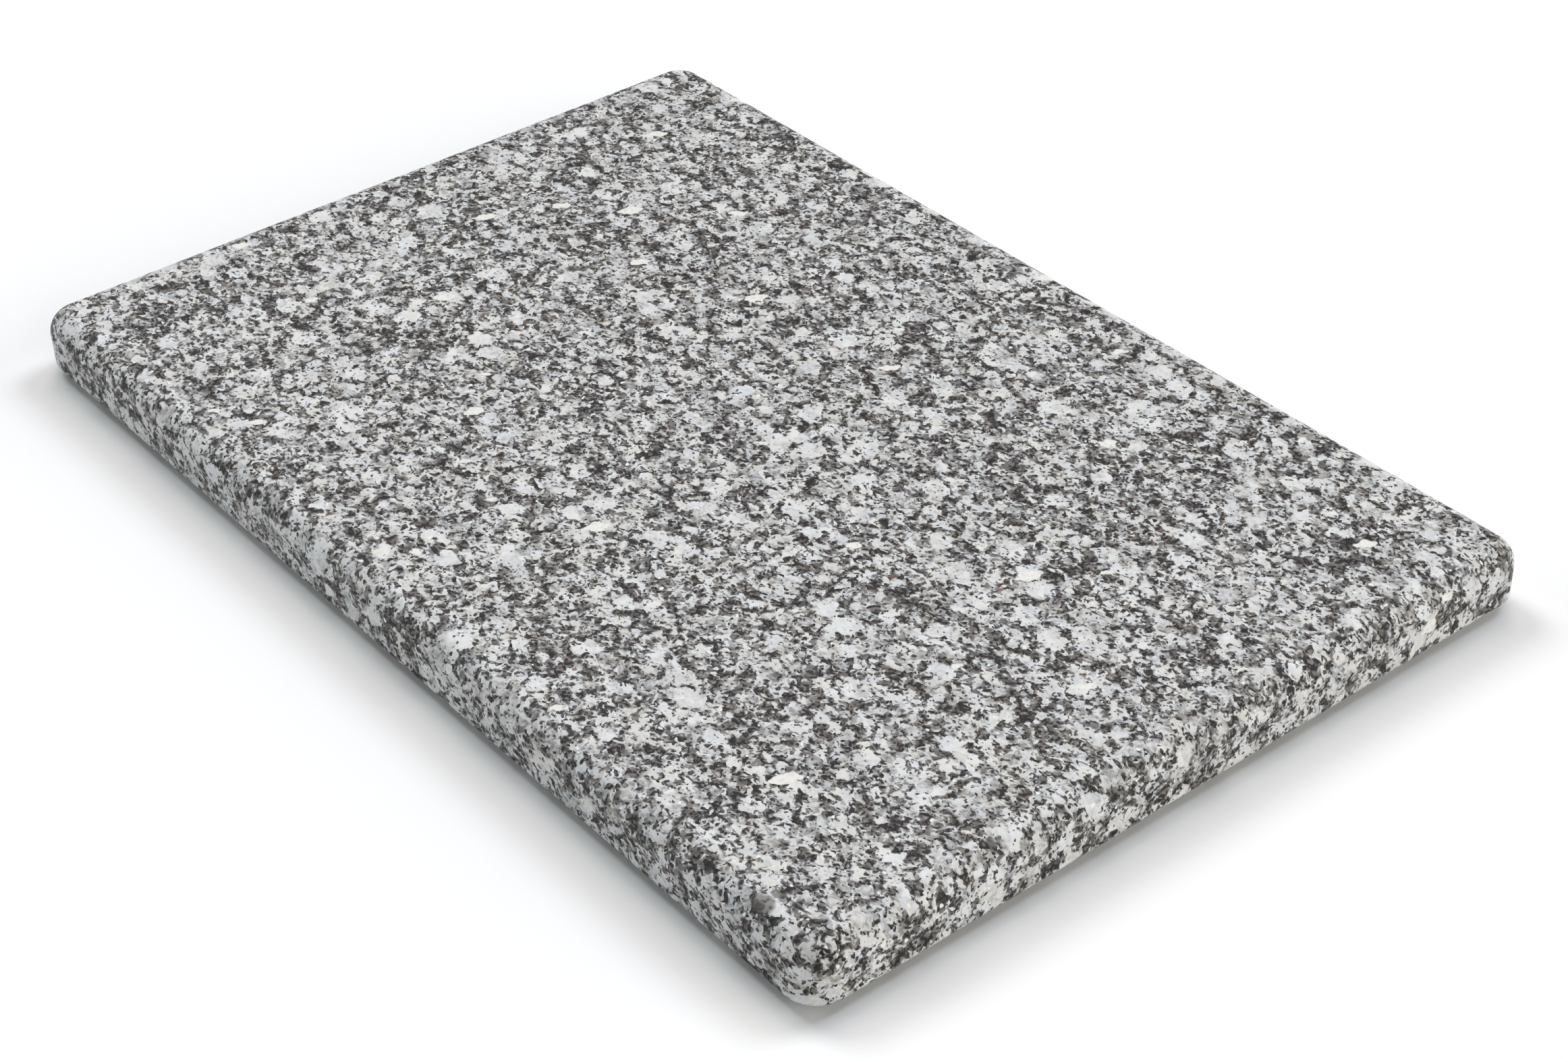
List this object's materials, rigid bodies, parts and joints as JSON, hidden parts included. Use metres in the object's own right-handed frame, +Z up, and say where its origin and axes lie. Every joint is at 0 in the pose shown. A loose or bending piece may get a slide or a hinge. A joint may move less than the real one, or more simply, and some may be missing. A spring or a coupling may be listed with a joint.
{
  "type": "granite leatherworking slab",
  "caption": "Flat rectangular granite plate with a polished face, rolled edges and stick-on feet, used as a hard, heavy base for stamping, punching and skiving leather.",
  "frame": {"origin": "point of the bench below the middle of the slab; the feet stand on z = 0", "axes": "+X along the slab's length, +Y along its width, +Z up through the working face"},
  "size_m": [0.3, 0.2, 0.017],
  "materials": {
    "granite": "polished face and edges, sawn underside",
    "foot_rubber": "matte moulded rubber",
    "adhesive": "pale acrylic transfer adhesive"
  },
  "bodies": {
    "root": {"granite_slab": "granite", "foot_front_left": "foot_rubber", "foot_front_right": "foot_rubber", "foot_rear_left": "foot_rubber", "foot_rear_right": "foot_rubber", "adhesive_disc_front_left": "adhesive", "adhesive_disc_front_right": "adhesive", "adhesive_disc_rear_left": "adhesive", "adhesive_disc_rear_right": "adhesive"}
  },
  "joints": []
}
